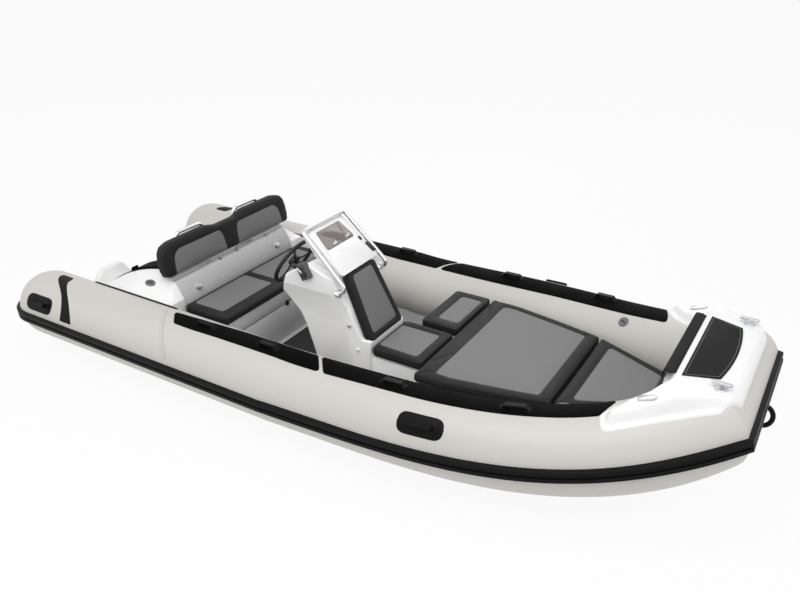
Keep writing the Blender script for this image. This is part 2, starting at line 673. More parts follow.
def startCushion(s):
    piece = bpy.data.objects.new(s["name"], cushionBlank(s))
    scene.collection.objects.link(piece)
    remesh = piece.modifiers.new("even", "REMESH")
    remesh.mode = "VOXEL"
    remesh.voxel_size = s["voxel"] * 1.0
    mesh = flatten(piece, s["name"])
    piece.modifiers.clear()
    piece.data = mesh
    rest = readPoints(mesh)
    held = piece.vertex_groups.new(name="held")
    firm = np.clip(1.0 - seamReaches(s, rest)[1] / cushionSettings["holdReach"], 0, 1)
    firm = np.where(rest[:, 2] < cushionSettings["holdHeight"], 1.0, firm)
    for index in np.nonzero(firm > 0.05)[0]:
        held.add([int(index)], float(firm[index]), "REPLACE")
    return piece, rest


def inflate(started):  # all cushions swell together under pressure, held at their seams and undersides
    for piece, rest in started:
        cloth = piece.modifiers.new("swell", "CLOTH")
        cloth.settings.use_pressure = True
        cloth.settings.uniform_pressure_force = cushionSettings["pressure"]
        cloth.settings.effector_weights.gravity = 0
        cloth.settings.quality = 4
        cloth.settings.vertex_group_mass = "held"
        cloth.point_cache.frame_start = 1
        cloth.point_cache.frame_end = cushionSettings["frames"]
    for number in range(1, cushionSettings["frames"] + 1):
        scene.frame_set(number)
        bpy.context.view_layer.update()
    swollen = [readPoints(flatten(piece, piece.name + "Swollen")) for piece, rest in started]
    scene.frame_set(1)
    for (piece, rest), spots in zip(started, swollen):
        piece.modifiers.clear()
        move = spots - rest
        size = np.linalg.norm(move, axis=1)
        move *= (np.minimum(size, cushionSettings["cap"]) / np.maximum(size, 1e-9))[:, None]
        writePoints(piece.data, rest + move)


def finishCushion(piece, rest, s):
    layer = piece.data.attributes.new("restPlace", "FLOAT_VECTOR", "POINT")
    layer.data.foreach_set("vector", np.ascontiguousarray(rest, dtype=np.float32).ravel())
    finer = piece.modifiers.new("finer", "SUBSURF")
    finer.levels = finer.render_levels = 1
    mesh = flatten(piece, s["name"])
    piece.modifiers.clear()
    piece.vertex_groups.clear()
    piece.data = mesh
    count = len(mesh.vertices)
    spots = np.zeros(count * 3, dtype=np.float32)
    mesh.attributes["restPlace"].data.foreach_get("vector", spots)
    spots = spots.reshape(-1, 3).astype(float)
    panel, seam = seamReaches(s, spots)
    normals = np.zeros(count * 3, dtype=np.float32)
    mesh.vertex_normals.foreach_get("vector", normals)
    sink = cushionSettings["seamDepth"] * np.exp(-(seam / cushionSettings["seamWidth"]) ** 2)
    writePoints(mesh, readPoints(mesh) - normals.reshape(-1, 3) * sink[:, None])
    setAttribute(mesh, "panelReach", panel)
    setAttribute(mesh, "seamReach", seam)
    mesh.attributes.remove(mesh.attributes["restPlace"])
    mesh.transform(s["place"])
    mesh.shade_smooth()
    dressed(mesh, s.get("finish", "vinylBorder"))
    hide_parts(s["node"])
    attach(piece, bodyOf[s["node"]])


started = [startCushion(s) for s in cushions]
print("cushion blanks made")
inflate(started)
for (piece, rest), s in zip(started, cushions):
    finishCushion(piece, rest, s)
print("cushions swollen and sewn:", sum(len(piece.data.polygons) for piece, rest in started), "faces")


softSettings = {  # node: edge rounding, finish, and the angle of a sharp edge where it isn't the usual one
    "console": (0.012, "gelcoatWhite", 11), "windscreen": (0.0035, "gelcoatWhite"),
    "transom": (0.005, "gelcoatWhite"), "bench_back": (0.008, "gelcoatGrey"), "bench_base": (0.004, "gelcoatGrey"),
    "bench_lid": (0.004, "gelcoatGrey"),
    "stern_port": (0.008, "gelcoatWhite"), "stern_starboard": (0.008, "gelcoatWhite"),
    "seat_box": (0.006, "gelcoatWhite"), "seat_lid": (0.003, "lidWhite"), "pad_base": (0.006, "gelcoatWhite"),
    "pad_lid": (0.003, "lidWhite"), "wing_base": (0.006, "gelcoatWhite"),
    "cleats": (0.003, "castSteel"), "helm_hub": (0.006, "blackPlastic"),
    "step_pads": (0.0015, "stepRubber"), "dash": (0.0015, "dashPanel"),
}
consoleRecess = {"middle": -0.185, "half": 0.195, "high": 0.722, "low": 0.642, "foot": 0.06, "depth": 0.022}


def recessSides(shape, s):  # the console's sides stand back below a sloping band
    for level in (s["high"], s["low"]):
        everything = shape.verts[:] + shape.edges[:] + shape.faces[:]
        bmesh.ops.bisect_plane(shape, geom=everything, dist=1e-5, plane_co=(0, 0, level), plane_no=(0, 0, 1))
    for v in shape.verts:
        aside = v.co.y - s["middle"]
        if abs(aside) > s["half"] and v.co.z > s["foot"]:
            share = min(1.0, max(0.0, (s["high"] - v.co.z) / (s["high"] - s["low"])))
            v.co.y -= math.copysign(s["depth"], aside) * share


def mergedMesh(name):  # a copy of a node's mesh with its loose triangles joined into flat faces
    mesh = nodes[name].data.copy()
    mesh.transform(nodes[name].matrix_world)
    shape = bmesh.new()
    shape.from_mesh(mesh)
    bmesh.ops.remove_doubles(shape, verts=shape.verts, dist=3e-5)
    bmesh.ops.dissolve_degenerate(shape, edges=shape.edges, dist=2e-4)
    bmesh.ops.dissolve_limit(shape, angle_limit=math.radians(0.6), verts=shape.verts, edges=shape.edges)
    if name == "console":
        recessSides(shape, consoleRecess)
    shape.to_mesh(mesh)
    shape.free()
    return mesh


def softShape(name, edge, finish, sharp=38, turn=28):  # edges past the turn are rounded, past the other left sharp
    mesh = mergedMesh(name)
    piece = bpy.data.objects.new(name + "Shape", mesh)
    scene.collection.objects.link(piece)
    bevel = piece.modifiers.new("edges", "BEVEL")
    bevel.width = edge
    bevel.segments = 3
    bevel.limit_method = "ANGLE"
    bevel.angle_limit = math.radians(turn)
    bevel.harden_normals = True
    done = flatten(piece, name + "Shape")
    bpy.data.objects.remove(piece)
    done.shade_smooth()
    done.set_sharp_from_angle(angle=math.radians(sharp))
    return newPiece(name + "Shape", done, node=name, finish=finish)


softened = {name: softShape(name, *s) for name, s in softSettings.items()}
print("hard parts softened:", len(softened))


tubeSettings = {
    "radius": 0.220, "level": 0.280, "side": 0.774,
    "stations": [  # x, how far inboard, how much higher
        (-0.1, 0.0, 0.0), (0.5, 0.017, 0.010), (1.0, 0.046, 0.033), (1.4, 0.119, 0.068), (1.75, 0.237, 0.135),
        (2.08, 0.457, 0.262),
    ],
}


def treeOf(names):  # a search tree over CAD nodes
    points, faces = [], []
    for name in names:
        mesh, matrix, first = nodes[name].data, nodes[name].matrix_world, len(points)
        points += [matrix @ v.co for v in mesh.vertices]
        faces += [[first + i for i in f.vertices] for f in mesh.polygons]
    return BVHTree.FromPolygons(points, faces)


tubeTree = treeOf(["tube_starboard", "tube_bow"])
tubePlaces = [
    Vector((x, inboard - tubeSettings["side"], tubeSettings["level"] + rise))
    for x, inboard, rise in tubeSettings["stations"]
]
tubeRuns = [Vector((1, 0, 0))] + [(b - a).normalized() for a, b in zip(tubePlaces, tubePlaces[2:])]
tubeRuns.append((tubePlaces[-1] - tubePlaces[-2]).normalized())


def tubeCentre(x):  # centre and direction of the starboard tube
    if x <= tubePlaces[0].x:
        return Vector((x, -tubeSettings["side"], tubeSettings["level"])), Vector((1, 0, 0))
    k = next((i for i in range(len(tubePlaces) - 1) if x <= tubePlaces[i + 1].x), len(tubePlaces) - 2)
    span = tubePlaces[k + 1].x - tubePlaces[k].x
    t = (x - tubePlaces[k].x) / span
    a, b = tubePlaces[k], tubePlaces[k + 1]
    go, come = tubeRuns[k] * span / tubeRuns[k].x, tubeRuns[k + 1] * span / tubeRuns[k + 1].x
    centre = (a * (2 * t ** 3 - 3 * t * t + 1) + go * (t ** 3 - 2 * t * t + t) + b * (3 * t * t - 2 * t ** 3)
              + come * (t ** 3 - t * t))
    run = a * (6 * t * t - 6 * t) + go * (3 * t * t - 4 * t + 1) + b * (6 * t - 6 * t * t) + come * (3 * t * t - 2 * t)
    return centre, run.normalized()


def onTube(x, v, lift=0.0, side=-1):  # v runs round the tube from its top, outboard positive
    centre, run = tubeCentre(x)
    angle = v / tubeSettings["radius"]
    out = Vector((run.y, -run.x, 0)).normalized()
    up = out.cross(run)
    if up.z < 0:
        up = -up
    away = out * math.sin(angle) + up * math.cos(angle)
    hit = tubeTree.ray_cast(centre, away, 0.4)[0]
    spot = (hit if hit else centre + away * tubeSettings["radius"]) + away * lift
    return Vector((spot.x, spot.y * -side, spot.z))


def arc(degrees):  # an angle on the tube as a length round it
    return math.radians(degrees) * tubeSettings["radius"]


def scanRows(loop, rows):  # stations along s, and where each crosses the outline
    low, high = min(p[0] for p in loop), max(p[0] for p in loop)
    found = []
    for i in range(rows + 1):
        f = 0.5 - 0.5 * math.cos(math.pi * i / rows)
        f = 0.35 * f + 0.65 * i / rows if 0 < i < rows else f
        s = min(max(low + (high - low) * f, low + 1e-6), high - 1e-6)
        across = []
        for a, b in zip(loop, loop[1:] + loop[:1]):
            if (a[0] <= s) != (b[0] <= s):
                across.append(a[1] + (b[1] - a[1]) * (s - a[0]) / (b[0] - a[0]))
        found.append((s, min(across), max(across)))
    return found


def closedSheet(name, top, bottom):  # two equal grids joined at their rims
    rows, columns = len(top), len(top[0])
    points = [p for row in top for p in row] + [p for row in bottom for p in row]
    half = rows * columns
    faces = []
    for r in range(rows - 1):
        for c in range(columns - 1):
            a = r * columns + c
            faces.append((a, a + 1, a + columns + 1, a + columns))
            faces.append((half + a, half + a + columns, half + a + columns + 1, half + a + 1))
    rim = list(range(columns)) + [r * columns + columns - 1 for r in range(1, rows)]
    rim += [(rows - 1) * columns + c for c in range(columns - 2, -1, -1)]
    rim += [r * columns for r in range(rows - 2, 0, -1)]
    for a, b in zip(rim, rim[1:] + rim[:1]):
        faces.append((b, a, half + a, half + b))
    return tidied(meshFrom(name, points, faces))


def tidied(mesh, sharp=38):  # doubles merged, faces outwards, edges sharp where they turn
    shape = bmesh.new()
    shape.from_mesh(mesh)
    bmesh.ops.remove_doubles(shape, verts=shape.verts, dist=1e-5)
    bmesh.ops.dissolve_degenerate(shape, edges=shape.edges, dist=1e-6)
    bmesh.ops.recalc_face_normals(shape, faces=shape.faces)
    shape.to_mesh(mesh)
    shape.free()
    mesh.shade_smooth()
    mesh.set_sharp_from_angle(angle=math.radians(sharp))
    return mesh


skinColumns = [0, 0.012, 0.035, 0.08, 0.2, 0.35, 0.5, 0.65, 0.8, 0.92, 0.965, 0.988, 1]
skinSink = 0.0022  # how far a patch's underside lies below the surface


def skin(name, outline, corner, place, thick, edge, rows):  # a thin patch with a rounded rim, laid by place(s, t, lift)
    loop = roundedLoop(anticlockwise(outline), corner) if corner else anticlockwise(outline)
    spots = []
    for s, low, high in scanRows(loop, rows):
        spots += [(s, low + (high - low) * f) for f in skinColumns]
    reach = -reachTo(loop, np.array(spots))
    top, bottom = [], []
    for k, (s, t) in enumerate(spots):
        depth = min(1.0, max(0.0, reach[k]) / edge)
        lift = thick * math.sqrt(max(0.0, 1 - (1 - depth) ** 2))
        if k % len(skinColumns) == 0:
            top.append([])
            bottom.append([])
        top[-1].append(place(s, t, lift))
        bottom[-1].append(place(s, t, -skinSink))
    return closedSheet(name, top, bottom)


def mirrored(mesh):
    other = mesh.copy()
    other.transform(Matrix.Diagonal((1, -1, 1, 1)))
    other.flip_normals()
    return other


def onSide(side):  # a tube's surface for outlines drawn as (round the tube, along it)
    return lambda v, x, lift: onTube(x, v, lift, side)


stripeSettings = {  # angle from the tube's top, aft x, forward x
    "rows": [
        (-11, -1.968, -1.884), (-9.5, -1.979, -1.878), (-6, -1.983, -1.868), (-2, -1.981, -1.860), (3, -1.967, -1.858),
        (8, -1.948, -1.851), (14.7, -1.912, -1.829), (20, -1.881, -1.806), (25.4, -1.851, -1.783),
        (30, -1.828, -1.762), (36, -1.800, -1.735), (42, -1.782, -1.712), (48, -1.766, -1.691), (56, -1.752, -1.670),
        (62, -1.747, -1.657), (69, -1.745, -1.647), (77, -1.748, -1.640),
    ],
    "thick": 0.0011, "edge": 0.002, "corner": 0.006, "steps": 72,
}


def makeStripes(s):
    outline = [(arc(a), aft) for a, aft, ahead in s["rows"]]
    outline += [(arc(a), ahead) for a, aft, ahead in reversed(s["rows"])]
    for side, name in ((-1, "stripeStarboard"), (1, "stripePort")):
        mesh = skin(name, outline, s["corner"], onSide(side), s["thick"], s["edge"], s["steps"])
        newPiece(name, mesh, slot="pad_black", finish="stripeBlack")


makeStripes(stripeSettings)

seamSettings = {
    "line": [(-8, -1.004), (-4, -0.990), (16.5, -0.937), (35.8, -0.885), (55, -0.835), (74.5, -0.798)],
    "width": 0.034, "thick": 0.0011, "edge": 0.004, "glue": 0.0032, "glueThick": 0.0006, "glueEdge": 0.001,
    "steps": 60,
}


def makeSeams(s):
    for side, end in ((-1, "Starboard"), (1, "Port")):
        tape = [(arc(a), x - s["width"]) for a, x in s["line"]] + [(arc(a), x) for a, x in reversed(s["line"])]
        glue = [(arc(a), x) for a, x in s["line"]] + [(arc(a), x + s["glue"]) for a, x in reversed(s["line"])]
        parts = [
            dressed(skin("tape", tape, 0, onSide(side), s["thick"], s["edge"], s["steps"]), "seamTape"),
            dressed(skin("glue", glue, 0, onSide(side), s["glueThick"], s["glueEdge"], s["steps"]), "seamLine"),
        ]
        newPiece("tubeSeam" + end, parts, slot="tube")


makeSeams(seamSettings)

padSettings = {  # outlines as x and angle from the tube's top
    "aft": [(-0.953, -11), (-0.733, -15), (-0.40, -23), (-0.20, -25), (0.100, -25), (0.212, 14.5), (-0.3, 14.5),
            (-0.534, 15.2), (-0.699, 16.4), (-0.858, 16)],
    "forward": [(0.122, -25), (0.9, -25), (1.4, -25), (1.6, -26), (1.802, -27), (1.762, -12), (1.694, 8.5), (1.62, 9.2),
                (1.519, 10.6), (1.2, 12.5), (0.824, 14.3), (0.234, 14.5)],
    "corner": 0.02, "thick": 0.0055, "edge": 0.006, "steps": {"aft": 90, "forward": 130},
}


def makePads(s):
    meshes = []
    for key, steps in s["steps"].items():
        outline = [(x, arc(a)) for x, a in s[key]]
        mesh = skin(key, outline, s["corner"], onTube, s["thick"], s["edge"], steps)
        meshes += [mesh, mirrored(mesh)]
    newPiece("treadPads", meshes, node="tube_pads", finish="padTread")


makePads(padSettings)

beadSettings = {
    "from": -1.745, "to": -0.985, "taper": 0.05, "angle": -26.4, "width": 0.015, "height": 0.010, "steps": 60,
}


def makeBeads(s):
    half, v = s["width"] / 2, arc(s["angle"])
    lower = [(s["from"], v - half * 0.3), (s["from"] + s["taper"], v - half), (s["to"] - s["taper"], v - half),
             (s["to"], v - half * 0.3)]
    upper = [(s["to"], v + half * 0.3), (s["to"] - s["taper"], v + half), (s["from"] + s["taper"], v + half),
             (s["from"], v + half * 0.3)]
    mesh = skin("bead", lower + upper, 0, onTube, s["height"], half, s["steps"])
    newPiece("sternBeads", [mesh, mirrored(mesh)], slot="pad_black", finish="handleRubber")


makeBeads(beadSettings)


def turned(name, profile, place, segments=40):  # a profile of (radius, height) turned about the place's w axis
    turns = [2 * math.pi * k / segments for k in range(segments)]
    points = [place @ Vector((r * math.cos(turn), r * math.sin(turn), h)) for r, h in profile for turn in turns]
    return tidied(meshFrom(name, points, ringFaces(len(profile), segments)), 30)


def block(name, outline, corner, bottom, top, edge, place=Matrix()):  # an outline raised, its upper edges rounded
    loop = roundedLoop(anticlockwise(outline), corner, 5) if corner else [Vector(p) for p in anticlockwise(outline)]
    rings = [(bottom, 0.0)] + roundedRings(top, edge, 3)
    points = [place @ Vector((p.x, p.y, w)) for w, inset in rings for p in insetLoop(loop, inset)]
    return tidied(meshFrom(name, points, ringFaces(len(rings), len(loop))), 40)


def tubePlace(x, degrees, lift=0.0):  # a frame standing on the tube, u along it
    spot, other = onTube(x, arc(degrees), lift), onTube(x, arc(degrees), lift + 0.01)
    w = (other - spot).normalized()
    u = tubeCentre(x)[1]
    u = (u - w * u.dot(w)).normalized()
    return placeFrame(spot, u, w.cross(u), w)


valveSettings = {
    "places": [(-0.500, -65), (1.518, -40)],
    "body": [(0.031, -0.004), (0.031, 0.003), (0.0295, 0.0052), (0.027, 0.006), (0.0235, 0.006), (0.0225, 0.0046),
             (0.0205, 0.0046), (0.0195, 0.0066), (0.0185, 0.0074), (0.004, 0.0080), (0.001, 0.0080)],
    "bar": (0.0165, 0.0045, 0.0115), "turn": 18,  # the bar's half length, half width and height
}


def makeValves(s):
    parts = []
    length, half, height = s["bar"]
    for x, degrees in s["places"]:
        place = tubePlace(x, degrees) @ Matrix.Rotation(math.radians(s["turn"]), 4, "Z")
        bar = block("bar", rectangle(-length, -half, length, half), half * 0.9, 0.006, height, 0.002, place)
        pair = [dressed(turned("disc", s["body"], place), "valvePlastic"), dressed(bar, "blackPlastic")]
        parts += pair + [mirrored(mesh) for mesh in pair]
    newPiece("airValves", parts, node="valves")


makeValves(valveSettings)

handleSettings = {
    "grabPlaces": [-0.655, -0.185, 0.640, 1.300], "grabFoot": 0.062, "footLength": 0.036, "footHalf": 0.021,
    "footThick": 0.009, "footCorner": 0.008, "footEdge": 0.004, "footSteps": 10,
    "liftPlaces": [(-1.961, 61), (0.872, 50)], "liftLength": 0.122, "liftHalf": 0.056, "liftThick": 0.003,
    "liftEdge": 0.005, "liftSteps": 40,
}


def makeHandleFeet(s):  # the glued patches under the handles
    meshes = []
    for x in s["grabPlaces"]:
        for way in (-1, 1):
            middle = x + way * s["grabFoot"]
            a, b, h = middle - s["footLength"] / 2, middle + s["footLength"] / 2, s["footHalf"]
            outline = rectangle(a, -h, b, h)
            meshes.append(skin("foot", outline, s["footCorner"], onTube, s["footThick"], s["footEdge"], s["footSteps"]))
    for x, degrees in s["liftPlaces"]:
        middle, half = arc(degrees), s["liftHalf"]
        outline = rectangle(x - s["liftLength"], middle - half, x + s["liftLength"], middle + half)
        meshes.append(skin("patch", outline, half * 0.95, onTube, s["liftThick"], s["liftEdge"], s["liftSteps"]))
    meshes += [mirrored(mesh) for mesh in meshes]
    newPiece("handlePatches", meshes, slot="handle", finish="handleRubber")


makeHandleFeet(handleSettings)
print("tube details laid")


capSettings = {
    "half": [(1.866, 0.345), (1.735, 0.480), (1.662, 0.605), (1.700, 0.690), (2.150, 0.455), (2.228, 0.345)],
    "side": [(1.640, 0.640), (1.900, 0.742), (1.945, 0.768), (1.985, 0.778), (2.150, 0.778), (2.190, 0.768),
             (2.228, 0.738)],  # the top's height along x
    "corner": 0.034, "cell": 0.006, "cellShare": 0.45, "along": (1.655, 2.236), "across": (-0.70, 0.701),
    "lipWidth": 0.026, "lipHeight": 0.007, "lipDrop": 0.003, "lipEdge": 0.004, "rise": 0.040, "bulge": 2.4,
    "shell": 0.006, "sink": 0.010, "front": 0.030, "frontDrop": 0.012, "foot": 0.600, "wellHalf": 0.430,
    "wellSlope": 0.085, "tubeLeast": 0.3, "passes": 3,
    "plate": (rectangle(1.850, -0.350, 1.859, 0.350), 0, 0.402, 0.615, 0.002),  # outline, corner, bottom, top, edge
    "shelf": (rectangle(1.850, -0.350, 1.875, 0.350), 0, 0.611, 0.620, 0.002),
}
allTubes = treeOf(["tube_starboard", "tube_port", "tube_bow"])


def topOf(tree, x, y, top=1.2, missing=0.0):
    hit = tree.ray_cast(Vector((x, y, top)), Vector((0, 0, -1)))[0]
    return hit.z if hit else missing


def alongPath(path, x):
    for (x0, z0), (x1, z1) in zip(path, path[1:]):
        if x <= x1:
            return z0 + (z1 - z0) * max(0.0, (x - x0) / (x1 - x0))
    return path[-1][1]


def lineReach(path, spots):  # distance from flat spots to an open path
    best = np.full(len(spots), 1e9)
    for a, b in zip(path, path[1:]):
        dx, dy = b[0] - a[0], b[1] - a[1]
        t = np.clip(((spots[:, 0] - a[0]) * dx + (spots[:, 1] - a[1]) * dy) / (dx * dx + dy * dy), 0, 1)
        best = np.minimum(best, np.hypot(spots[:, 0] - a[0] - t * dx, spots[:, 1] - a[1] - t * dy))
    return best


def makeCap(s):  # a sheet over a fine grid: a lip on the tubes, and a rounded body inside it
    loop = roundedLoop(anticlockwise(both(s["half"])), s["corner"])
    cell = s["cell"]
    xs, ys = np.arange(*s["along"], cell), np.arange(*s["across"], cell)
    grid = np.array([(x, y) for x in xs for y in ys])
    reach = -reachTo(loop, grid)
    kept = {}
    spots, faces = [], []
    columns = len(ys)

    def spot(k):
        if k not in kept:
            kept[k] = len(spots)
            spots.append(grid[k])
        return kept[k]

    for i in range(len(xs) - 1):
        for j in range(columns - 1):
            ring = (i * columns + j, (i + 1) * columns + j, (i + 1) * columns + j + 1, i * columns + j + 1)
            if min(reach[k] for k in ring) > -cell * s["cellShare"] and np.mean([reach[k] for k in ring]) > 0:
                faces.append(tuple(spot(k) for k in ring))
    spots = np.array(spots)
    edges = dict.fromkeys(edge for face in faces for edge in zip(face, face[1:] + face[:1]))
    rim = [(a, b) for (a, b) in edges if (b, a) not in edges]
    outer = sorted({a for edge in rim for a in edge})
    for k in outer:  # the rim is moved onto the outline
        best = None
        for a, b in zip(loop, loop[1:] + loop[:1]):
            dx, dy = b[0] - a[0], b[1] - a[1]
            t = ((spots[k][0] - a[0]) * dx + (spots[k][1] - a[1]) * dy) / max(1e-12, dx * dx + dy * dy)
            t = min(1.0, max(0.0, t))
            away = math.hypot(spots[k][0] - a[0] - t * dx, spots[k][1] - a[1] - t * dy)
            if best is None or away < best[0]:
                best = (away, a[0] + t * dx, a[1] + t * dy)
        spots[k] = best[1:]
    lipPath = [s["half"][k] for k in range(5)]
    lip = np.minimum(lineReach(lipPath, spots), lineReach([(x, -y) for x, y in lipPath], spots))
    fromRim = np.maximum(0, -reachTo(loop, spots))
    flatFrom, flat = s["side"][3]
    top, bottom = [], []
    for k, (x, y) in enumerate(spots):
        tube = topOf(allTubes, x, y)
        crown = alongPath(s["side"], x)
        if x < flatFrom:  # the step between the wings is level to its edge
            crown += (flat - crown) * min(1.0, max(0.0, (s["wellHalf"] - abs(y)) / s["wellSlope"]))
        low = tube + s["lipHeight"] if tube > s["tubeLeast"] else crown - 0.05
        low = min(low, crown)
        f = min(1.0, max(0.0, (lip[k] - s["lipWidth"]) / s["rise"]))
        z = low + (crown - low) * math.sqrt(max(0.0, 1 - (1 - f) ** s["bulge"]))
        g = min(1.0, fromRim[k] / s["front"])
        if lip[k] > s["lipWidth"]:
            z -= s["frontDrop"] * (1 - math.sqrt(max(0.0, 1 - (1 - g) ** 2)))
        elif fromRim[k] < s["lipEdge"]:
            z -= s["lipDrop"]
        under = max(tube - s["sink"], s["foot"]) if tube > s["foot"] - 0.05 else s["foot"]
        top.append((x, y, z))
        bottom.append((x, y, min(z - s["shell"], under)))
    count = len(spots)
    sides = [(a, count + a, count + b, b) for a, b in rim]
    under = [tuple(count + k for k in reversed(face)) for face in faces]
    sheet = tidied(meshFrom("cap", top + bottom, faces + under + sides), 50)
    smooth = bmesh.new()
    smooth.from_mesh(sheet)
    upper = [v for v in smooth.verts if v.normal.z > 0.05]
    for n in range(s["passes"]):
        bmesh.ops.smooth_vert(smooth, verts=upper, factor=0.5, use_axis_x=False, use_axis_y=False, use_axis_z=True)
    smooth.to_mesh(sheet)
    smooth.free()
    parts = [sheet] + [block(key, *s[key]) for key in ("plate", "shelf")]
    newPiece("bowCap", parts, node="bow_cap", finish="gelcoatWhite")


makeCap(capSettings)
print("bow cap moulded")


def strip(path, width, low, high):  # a narrow raised band along a flat path
    points = []
    path = [Vector(p) for p in path]
    for i, p in enumerate(path):
        before, after = path[max(0, i - 1)], path[min(len(path) - 1, i + 1)]
        run = (after - before).normalized()
        side = Vector((-run.y, run.x)) * width / 2
        bevel = side * 0.6
        points += [(q.x, q.y, w) for q, w in ((p - side, low), (p - bevel, high), (p + bevel, high), (p + side, low))]
    return tidied(meshFrom("strip", points, ringFaces(len(path), 4)), 60)


stepSettings = {  # the raised line round the step's mat
    "level": 0.782, "width": 0.0022, "height": 0.0006, "sink": 0.0004, "aft": (1.957, 0.322),
    "ahead": [(2.097, 0.266), (2.112, 0.18), (2.121, 0.09), (2.124, 0.0)],
}


def makeStepLines(s):
    x, y = s["aft"]
    ahead = s["ahead"] + [(a, -b) for a, b in reversed(s["ahead"][:-1])]
    corner = ahead[0]
    paths = [[(x, -y), (x, y)], ahead] + [[(x, way * y), (corner[0], way * corner[1])] for way in (-1, 1)]
    parts = [strip(path, s["width"], s["level"] - s["sink"], s["level"] + s["height"]) for path in paths]
    newPiece("stepLines", parts, slot="step", finish="lineGrey")


makeStepLines(stepSettings)

riserSettings = {  # the riser's mat folds over the step's edge
    "half": 0.343, "top": 0.7782, "thick": 0.0045, "end": 0.003, "bend": (1.870, -0.006),
    "profile": [(1.902, 0), (1.872, 0), (1.866, -0.0015), (1.8625, -0.006), (1.8612, -0.014), (1.8610, -0.045)],
}


def makeRiser(s):
    half, top, profile = s["half"], s["top"], s["profile"]
    stations = [-half, -half + s["end"]] + [k * 0.05 for k in range(-6, 7)] + [half - s["end"], half]
    points = []
    for y in stations:
        thick = s["thick"] * (0.3 if abs(y) > half - 0.001 else 1.0)
        for x, z in profile:
            if z < s["bend"][1]:
                points.append((x - thick, y, top + z))
            elif x < s["bend"][0]:
                points.append((x - thick * 0.7, y, top + z + thick * 0.7))
            else:
                points.append((x, y, top + z + thick))
        points += [(x, y, top + z) for x, z in reversed(profile)]
    mesh = tidied(meshFrom("riserMat", points, ringFaces(len(stations), 2 * len(profile))), 60)
    newPiece("riserMat", mesh, slot="step", finish="stepRubber")


makeRiser(riserSettings)

matSettings = {
    "aft": -0.652, "ahead": 0.590, "half": 0.586, "level": 0.050, "thick": 0.004, "edge": 0.0015, "corner": 0.02,
    "gap": 0.009, "lineWidth": 0.006, "lineHeight": 0.002, "sink": 0.001,
}


def makeMat(s):
    low = s["level"] - s["sink"]
    outline = rectangle(s["aft"], -s["half"], s["ahead"], s["half"])
    mesh = block("deckMat", outline, s["corner"], low, s["level"] + s["thick"], s["edge"])
    newPiece("deckMat", mesh, slot="deck", finish="deckMat")
    x = s["aft"] - s["gap"]
    line = strip([(x, -s["half"]), (x, s["half"])], s["lineWidth"], low, s["level"] + s["lineHeight"])
    newPiece("deckLine", line, slot="deck", finish="gelcoatWhite")


makeMat(matSettings)

sternTrees = {-1: treeOf(["stern_starboard"]), 1: treeOf(["stern_port"])}
sternSettings = {
    "vent": (-1.289, 0.604, 0.048, 0.016), "ventLift": 0.005, "ventEdge": 0.004,
    "well": (0.72, 0.62, 0.0042, 0.0015), "wellEdge": 0.002,  # shares of the vent, lift, thickness
    "trim": [(-1.775, 0.515), (-1.70, 0.512), (-1.60, 0.508), (-1.50, 0.504), (-1.40, 0.500), (-1.30, 0.497)],
    "trimWidth": 0.013, "trimHeight": 0.007, "trimCorner": 0.003,
    "mats": [  # outline, corner, thickness, rounding of the rim, rows
        ([(-1.565, 0.36), (-1.300, 0.36), (-1.300, 0.492), (-1.565, 0.498)], 0.02, 0.012, 0.006, 24),
        (rectangle(-1.585, 0.452, -1.562, 0.500), 0.004, 0.030, 0.004, 8),
    ],
}


def onStern(side, more=0.0):  # places on one moulding's top, for outlines drawn on the port side
    tree = sternTrees[side]
    return lambda x, y, lift: Vector((x, y * side, topOf(tree, x, y * side, missing=0.5) + (lift + more)))


def oval(x, y, a, b):
    return [(x + a * math.cos(t), y + b * math.sin(t)) for t in np.linspace(0, 2 * math.pi, 28, endpoint=False)]


def makeStern(s):
    for side, end in ((-1, "Starboard"), (1, "Port")):
        place = onStern(side)
        x, y, a, b = s["vent"]
        wellA, wellB, wellLift, wellThick = s["well"]
        well = oval(x, y, a * wellA, b * wellB)
        parts = [
            dressed(skin("vent", oval(x, y, a, b), 0, place, s["ventLift"], s["ventEdge"], 16), "valvePlastic"),
            dressed(skin("ventWell", well, 0, onStern(side, wellLift), wellThick, s["wellEdge"], 12), "ventGrey"),
        ]
        newPiece("sternVent" + end, parts, slot="valve")
        half = s["trimWidth"] / 2
        outline = [(p, q - half) for p, q in s["trim"]] + [(p, q + half) for p, q in reversed(s["trim"])]
        mats = [skin("mat", shape, corner, place, *more) for shape, corner, *more in s["mats"]]
        mats.append(skin("trim", outline, s["trimCorner"], place, s["trimHeight"], half, 40))
        newPiece("sternMat" + end, mats, slot="pad_black", finish="padTread")


makeStern(sternSettings)

wheelSettings = {
    "centre": (-0.437, -0.185, 0.752), "tilt": 30, "radius": 0.159, "thick": 0.0132, "grips": 12, "gripDepth": 0.045,
    "spokes": [90, 210, 330], "spokeFrom": 0.030, "spokeHalf": 0.0095, "spokeThick": 0.0055, "dish": 0.0056,
    "boss": [(0.040, -0.012), (0.040, 0.010), (0.036, 0.0165), (0.028, 0.019), (0.026, 0.017), (0.012, 0.0195),
             (0.002, 0.0200)],
}


def wheelRim(s, place, around=144, ring=18):
    points, faces = [], []
    for i in range(around):
        a = 2 * math.pi * i / around
        swell = 1 + s["gripDepth"] * math.cos(s["grips"] * a)
        for k in range(ring):
            b = 2 * math.pi * k / ring
            r = s["radius"] + s["thick"] * swell * math.cos(b) * (1.0 if math.cos(b) > 0 else 1.12)
            points.append(place @ Vector((r * math.cos(a), r * math.sin(a), s["thick"] * 0.92 * swell * math.sin(b))))
            j, m = (i + 1) % around, (k + 1) % ring
            faces.append((i * ring + k, j * ring + k, j * ring + m, i * ring + m))
    return tidied(meshFrom("rim", points, faces), 60)


